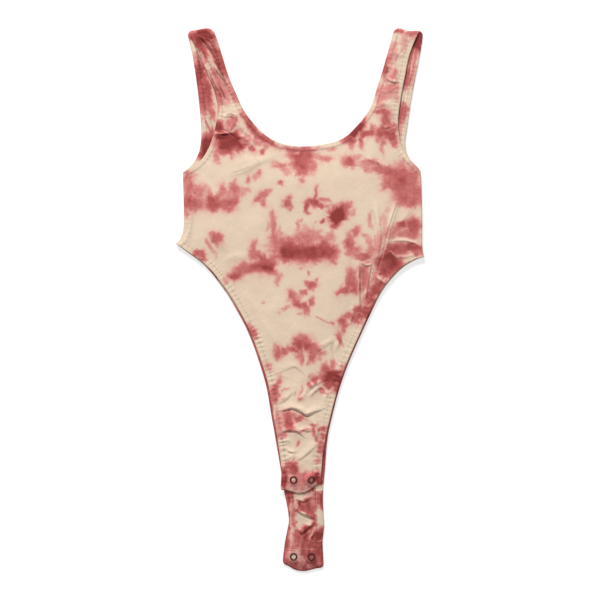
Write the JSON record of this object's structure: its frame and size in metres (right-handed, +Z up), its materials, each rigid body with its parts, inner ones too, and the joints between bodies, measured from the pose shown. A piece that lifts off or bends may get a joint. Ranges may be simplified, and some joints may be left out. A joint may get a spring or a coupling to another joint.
{
  "type": "snap-crotch leotard",
  "caption": "Sleeveless scoop-neck high-cut snap-crotch leotard in tie-dyed jersey, laid flat on its back with the crotch undone.",
  "frame": {"origin": "centre of the laid-out garment's outline, on the surface that it lies on", "axes": "+Y from the crotch to the shoulders, +X to the right as seen from above the front, +Z up through the layers"},
  "size_m": [0.31, 0.6776, 0.0083],
  "materials": {
    "jersey_front": "cotton-elastane single jersey, tie-dyed cream and brick red, matte",
    "jersey_back": "cotton-elastane single jersey, tie-dyed cream and brick red, matte",
    "hem_elastic": "jersey turned over 6 mm elastic, gathered, one row of stitching",
    "seam_allowance": "overlocked jersey",
    "lining": "plain jersey lining and snap tape, matte",
    "snap_metal": "dulled copper-brown plated ring snap"
  },
  "bodies": {
    "torso": {"front_panel": "jersey_front", "back_panel": "jersey_back", "front_neck_hem": "hem_elastic", "back_neck_hem": "hem_elastic", "left_front_armhole_hem": "hem_elastic", "right_front_armhole_hem": "hem_elastic", "left_back_armhole_hem": "hem_elastic", "right_back_armhole_hem": "hem_elastic", "left_front_leg_hem": "hem_elastic", "right_front_leg_hem": "hem_elastic", "left_back_leg_hem": "hem_elastic", "right_back_leg_hem": "hem_elastic", "left_side_seam": "seam_allowance", "right_side_seam": "seam_allowance", "gusset_lining": "lining"},
    "left_strap": {"left_front_strap": "jersey_front", "left_back_strap": "jersey_back", "left_strap_neck_hem": "hem_elastic", "left_strap_arm_hem": "hem_elastic", "left_shoulder_seam": "seam_allowance"},
    "right_strap": {"right_front_strap": "jersey_front", "right_back_strap": "jersey_back", "right_strap_neck_hem": "hem_elastic", "right_strap_arm_hem": "hem_elastic", "right_shoulder_seam": "seam_allowance"},
    "front_tab": {"front_tab": "jersey_front", "front_tab_left_hem": "hem_elastic", "front_tab_right_hem": "hem_elastic", "front_tab_facing": "lining", "front_left_ring_cap": "snap_metal", "front_left_socket": "snap_metal", "front_right_ring_cap": "snap_metal", "front_right_socket": "snap_metal"},
    "back_tail": {"back_tail": "jersey_back", "back_tail_left_hem": "hem_elastic", "back_tail_right_hem": "hem_elastic", "back_tail_lining": "lining", "back_tail_facing": "lining", "back_left_ring_cap": "snap_metal", "back_left_stud": "snap_metal", "back_right_ring_cap": "snap_metal", "back_right_stud": "snap_metal"}
  },
  "joints": [
    {"name": "left_strap_fold", "type": "hinge", "parent": "torso", "child": "left_strap", "pos_m": [0, 0.225, 0.0086], "axis": [1, 0, 0], "range_deg": [0, 120]},
    {"name": "right_strap_fold", "type": "hinge", "parent": "torso", "child": "right_strap", "pos_m": [0, 0.225, 0.0086], "axis": [1, 0, 0], "range_deg": [0, 120]},
    {"name": "front_tab_lift", "type": "hinge", "parent": "torso", "child": "front_tab", "pos_m": [0, -0.1775, 0.0066], "axis": [-1, 0, 0], "range_deg": [0, 150]},
    {"name": "tail_fold", "type": "hinge", "parent": "torso", "child": "back_tail", "pos_m": [0, -0.27187, 0.002], "axis": [-1, 0, 0], "range_deg": [0, 165]}
  ]
}
